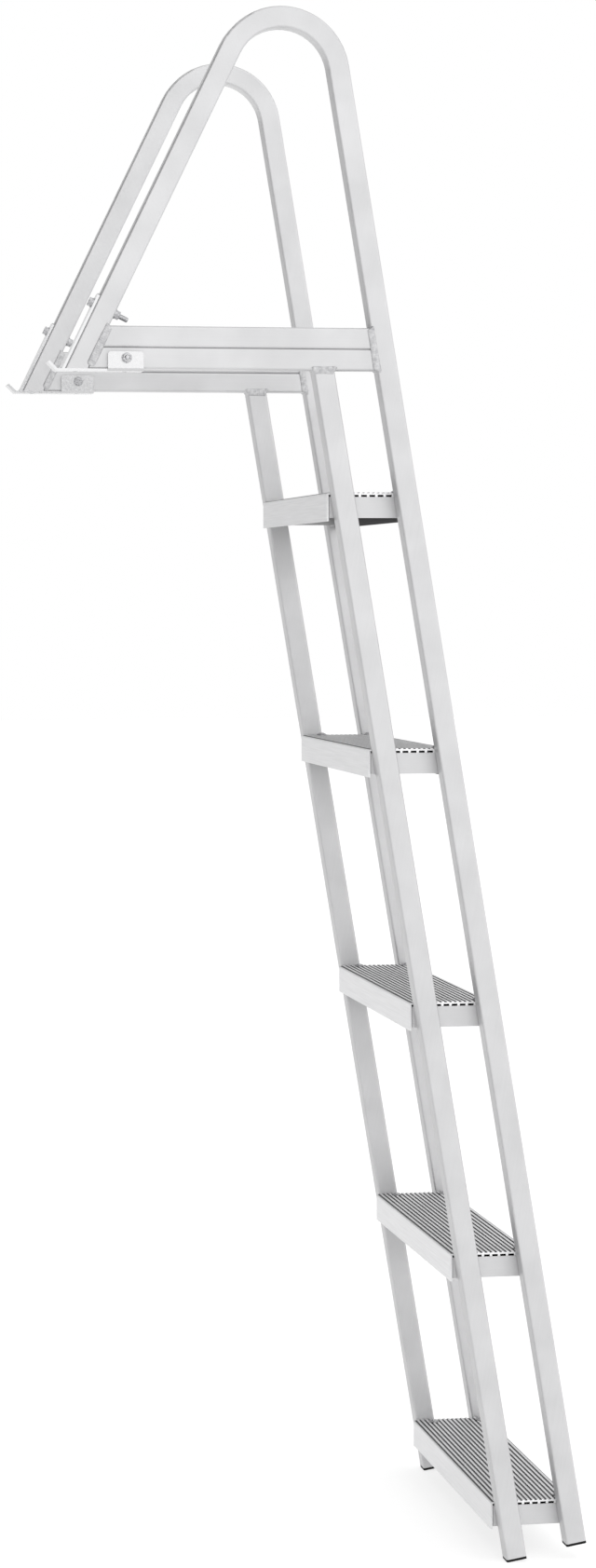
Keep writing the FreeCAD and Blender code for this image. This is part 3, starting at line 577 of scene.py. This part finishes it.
BEAD_WIDTH = 4.5 * MM
BEAD_HEIGHT = 0.8 * MM
DECK_GAP = 2.5 * MM
LEG_FILLET = unit(0, -math.cos(INCLINE), 1 - math.sin(INCLINE))
RAIL_FILLET_TOP = unit(0, math.cos(LEAN), 1 - math.sin(LEAN))
RAIL_FILLET_LOW = unit(0, math.cos(LEAN), -1 - math.sin(LEAN))

for name, side in SIDES:
    outer, inner = side * TUBE_OUT, side * TUBE_IN
    outward = [(side, 0, 0), LEG_FILLET, (-side, 0, 0)]
    low = BAR_LOW + DECK_GAP
    corners = [
        (outer, leg_joint(low), low),
        (outer, leg_joint(BAR_HIGH), BAR_HIGH),
        (inner, leg_joint(BAR_HIGH), BAR_HIGH),
        (inner, leg_joint(low), low),
    ]
    line = bead(corners, outward, BEAD_WIDTH, BEAD_HEIGHT)
    make_piece(name + "_leg_bead", [line], weld_finish)
    corners = [
        (outer, rail_joint(BAR_LOW), BAR_LOW),
        (outer, rail_joint(BAR_HIGH), BAR_HIGH),
        (inner, rail_joint(BAR_HIGH), BAR_HIGH),
        (inner, rail_joint(BAR_LOW), BAR_LOW),
    ]
    outward = [(side, 0, 0), RAIL_FILLET_TOP, (-side, 0, 0), RAIL_FILLET_LOW]
    ring = bead(corners, outward, BEAD_WIDTH, BEAD_HEIGHT, looped=True)
    make_piece(name + "_rail_bead", [ring], weld_finish, looped=True)

# %% [markdown]
# ## Bead round the top of each inner rail
# The inner rail butts against the underside of the lower bar, and one bead goes all the
# way round.  It is flat on the flush sides and a fillet on the inland and water sides.

# %% Inner rail beads
rail_near = inner_rail[1].y
rail_far = rail_near - TUBE / math.cos(LEAN)
for name, side in SIDES:
    outer, inner = side * TUBE_OUT, side * TUBE_IN
    corners = [
        (outer, rail_near, BAR_LOW),
        (outer, rail_far, BAR_LOW),
        (inner, rail_far, BAR_LOW),
        (inner, rail_near, BAR_LOW),
    ]
    outward = [(side, 0, 0), unit(0, -1, -1), (-side, 0, 0), unit(0, 1, -1)]
    ring = bead(corners, outward, BEAD_WIDTH, BEAD_HEIGHT, looped=True)
    make_piece(name + "_inner_rail_bead", [ring], weld_finish, looped=True)

# %% [markdown]
# ## Beads under the bearers
# Each bearer is welded along its lower edge to the inner faces of both rails.  The beads
# are short and straight, and only show from below, so all of one side are one piece.

# %% Bearer beads
def rail_span(z, inland_face):
    """From water to inland edge of a rail at height z, given its inland face at BAR_LOW."""
    inland = inland_face - (BAR_LOW - z) * math.tan(LEAN)
    return inland - TUBE / math.cos(LEAN), inland


outer_face = lower_bar[0].y
END_GAP = 2 * MM
BEARER_BEAD = (2.2 * MM, 1.2 * MM)
for name, side in SIDES:
    stacks = []
    for number in TREADS:
        low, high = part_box("%s_bearer_%d" % (name, number))
        edge = side * TUBE_IN
        for face in (rail_near, outer_face):
            water, inland = rail_span(low.z, face)
            start, end = max(water, low.y) + END_GAP, min(inland, high.y) - END_GAP
            corners = [(edge, start, low.z), (edge, end, low.z)]
            stacks.append(bead(corners, [unit(-side, 0, -1)], *BEARER_BEAD))
    make_piece(name + "_bearer_beads", stacks, weld_finish)

# %% [markdown]
# ## Bead at each strap's foot
# The stainless strap stands on the bracket's plate and is welded along its inland foot.
# The corner between them is wide, so the bead leans half way between the two faces.

# %% Toe beads
SHEET = BAR_LOW
TOE_BEAD = (2 * MM, 1.1 * MM)
strap_foot = TOE + SHEET / math.cos(INCLINE)
for name, side in SIDES:
    ends = (TUBE_OUT - END_GAP, TUBE_IN + END_GAP)
    corners = [(side * x, strap_foot, SHEET) for x in ends]
    outward = [unit(0, math.cos(INCLINE), 1 + math.sin(INCLINE))]
    make_piece(name + "_toe_bead", [bead(corners, outward, *TOE_BEAD)], sheet_finish)

# %% [markdown]
# ## Screw threads
# The solid bolts have plain shanks.  A coarse M6 thread has a ridge every millimetre, and
# a sleeve over each exposed end shows it.  Its radius is a triangle wave of the distance
# along the bolt less the turn round it, which winds the ridge into a helix.  The root lies
# inside the shank, so only the ridge shows.

# %% Thread sleeves
THREAD_ROOT, THREAD_CREST, THREAD_PITCH = 2.92 * MM, 3.16 * MM, 1.0 * MM
RUN_OUT = 0.4 * MM
RINGS_PER_TURN, TURN_POINTS = 8, 24


def thread_sleeve(start, end):
    """Radius at distance z and turn t: root + (crest - root) (1 - |2 frac(z / pitch - t) - 1|)."""
    start, end = Vector(start), Vector(end)
    axis = (end - start).normalized()
    sideways = axis.orthogonal().normalized()
    third = axis.cross(sideways)
    length = (end - start).length
    along = np.linspace(0, length, 1 + RINGS_PER_TURN * math.ceil(length / THREAD_PITCH))
    turn = np.linspace(0, 1, TURN_POINTS, endpoint=False)
    phase = (along[:, None] / THREAD_PITCH - turn) % 1
    ridge = 1 - np.abs(2 * phase - 1)
    ends = np.clip(np.minimum(along, length - along) / RUN_OUT, 0, 1)[:, None]
    radius = THREAD_ROOT + (THREAD_CREST - THREAD_ROOT) * ridge * ends
    circle = (
        np.cos(2 * np.pi * turn)[:, None] * np.array(sideways)
        + np.sin(2 * np.pi * turn)[:, None] * np.array(third)
    )
    return np.array(start) + along[:, None, None] * np.array(axis) + radius[..., None] * circle


NUT, WASHER, CHAMFER = 5 * MM, 1.6 * MM, 0.7 * MM
STRAP_HOLE = 84 * MM
TOE_TAIL, EAR_TAIL, TREAD_TAIL = 11 * MM, 2.5 * MM, 3 * MM
HEAD_RADIUS = 6.5 * MM
for name, side in SIDES:
    middle = side * (TUBE_IN + TUBE_OUT) / 2
    out_of_leg = Vector((0, math.cos(INCLINE), math.sin(INCLINE)))
    up_the_leg = Vector((0, -math.sin(INCLINE), math.cos(INCLINE)))
    hole = Vector((middle, TOE, BAR_LOW)) + up_the_leg * STRAP_HOLE
    nut_face = hole - out_of_leg * (TUBE + WASHER + NUT)
    tip = nut_face - out_of_leg * (TOE_TAIL - CHAMFER)
    make_piece(name + "_toe_thread", [thread_sleeve(nut_face, tip)], fastener_finish)
    low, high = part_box(name + "_ear_bolt")
    y, z = (low.y + high.y) / 2, (low.z + high.z) / 2
    tip_x = side * max(abs(low.x), abs(high.x))
    ear = thread_sleeve((tip_x - side * EAR_TAIL, y, z), (tip_x - side * CHAMFER, y, z))
    make_piece(name + "_ear_thread", [ear], fastener_finish)

# %% [markdown]
# The tread bolts point down, and three millimetres of each shows below its nut.  The four
# places come from the bolts' own box.

# %% Tread bolt threads
for number in TREADS:
    low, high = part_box("tread_bolts_%d" % number)
    stacks = [
        thread_sleeve((x, y, low.z + TREAD_TAIL), (x, y, low.z + CHAMFER))
        for x in (low.x + HEAD_RADIUS, high.x - HEAD_RADIUS)
        for y in (low.y + HEAD_RADIUS, high.y - HEAD_RADIUS)
    ]
    make_piece("tread_threads_%d" % number, stacks, fastener_finish)

# %% [markdown]
# ## Studio
# The ladder stands on its longer feet on a plain pale floor under a white sky, so the
# satin metal has something pale to reflect.  The floor glows a little itself, as a lit
# sweep does, so shadows on it stay faint.  One soft sun stands on the camera's side and a
# little towards the water, and lights near and far frame alike.  Inland of the ladder the
# sky is a dark grey screen, which light and reflections meet but the camera doesn't: it
# gives the pale tubes their darker inland faces, and the bright sheet its outlines.

# %% Floor, sky and lights
scene = bpy.context.scene
scene.view_settings.view_transform = "Standard"

floor_finish, tree, shader = new_material(
    "studio_floor", Roughness=0.9, Specular_IOR_Level=0.0, Emission_Strength=0.8
)
shader.inputs["Base Color"].default_value = linear("#9C9C9C")
shader.inputs["Emission Color"].default_value = linear("#FFFFFF")
FLOOR_SIZE = 60.0
floor_mesh = bpy.data.meshes.new("floor")
half = FLOOR_SIZE / 2
floor_z = CAD_BOX[0][2]
floor_corners = [(x * half, y * half, floor_z) for x, y in ((-1, -1), (1, -1), (1, 1), (-1, 1))]
floor_mesh.from_pydata(floor_corners, [], [(0, 1, 2, 3)])
floor_mesh.materials.append(floor_finish)
floor = bpy.data.objects.new("floor", floor_mesh)
scene.collection.objects.link(floor)

world = bpy.data.worlds.new("white_sky")
world.use_nodes = True
tree = world.node_tree
sky = tree.nodes["Background"]
direction = add(tree, "SeparateXYZ", inputs={"Vector": add(tree, "TexCoord").outputs["Generated"]})
inland = fade(tree, direction.outputs["Y"], 0.15, 0.6)
unseen = arithmetic(tree, "SUBTRACT", 1.0, add(tree, "LightPath").outputs["Is Camera Ray"])
screen = arithmetic(tree, "MULTIPLY", inland, unseen)
tree.links.new(tint(tree, screen, "#FFFFFF", "#747474"), sky.inputs["Color"])
scene.world = world


def soft_sun(name, place, target, width, strength):
    """Parallel light from a place towards a target, as soft as a lamp of the given angle."""
    data = bpy.data.lights.new(name, "SUN")
    data.angle = width
    data.energy = strength
    light = bpy.data.objects.new(name, data)
    light.matrix_world = Matrix.Translation(place) @ (
        Vector(target) - Vector(place)
    ).to_track_quat("-Z", "Y").to_matrix().to_4x4()
    scene.collection.objects.link(light)


CENTRE = (0, -0.25, -0.5)
soft_sun("key", (-8.0, -3.0, 1.0), CENTRE, math.radians(100), 1.1)
print("floor at %.0f mm" % (floor_z / MM))

# %% [markdown]
# ## Camera
# The camera looks nearly level across the ladder, turned a little towards the water, from
# about four and a half metres.  The long lens keeps the rails nearly parallel.

# %% Camera
YAW, PITCH, ROLL = 0.1757, 0.0507, -0.0025
SENSOR = 36.0
FOCAL_SHARE = 2.376
CAMERA_PLACE = (-4.5866, 0.5371, -0.2612)
forward = Vector(
    (math.cos(YAW) * math.cos(PITCH), -math.sin(YAW) * math.cos(PITCH), -math.sin(PITCH))
)
camera_data = bpy.data.cameras.new("camera")
camera_data.sensor_width = SENSOR
camera_data.lens = SENSOR * FOCAL_SHARE
camera = bpy.data.objects.new("camera", camera_data)
aim = forward.to_track_quat("-Z", "Y").to_matrix().to_4x4()
camera.matrix_world = Matrix.Translation(CAMERA_PLACE) @ aim @ Matrix.Rotation(ROLL, 4, "Z")
scene.collection.objects.link(camera)
scene.camera = camera
print("lens %.1f mm" % camera_data.lens)
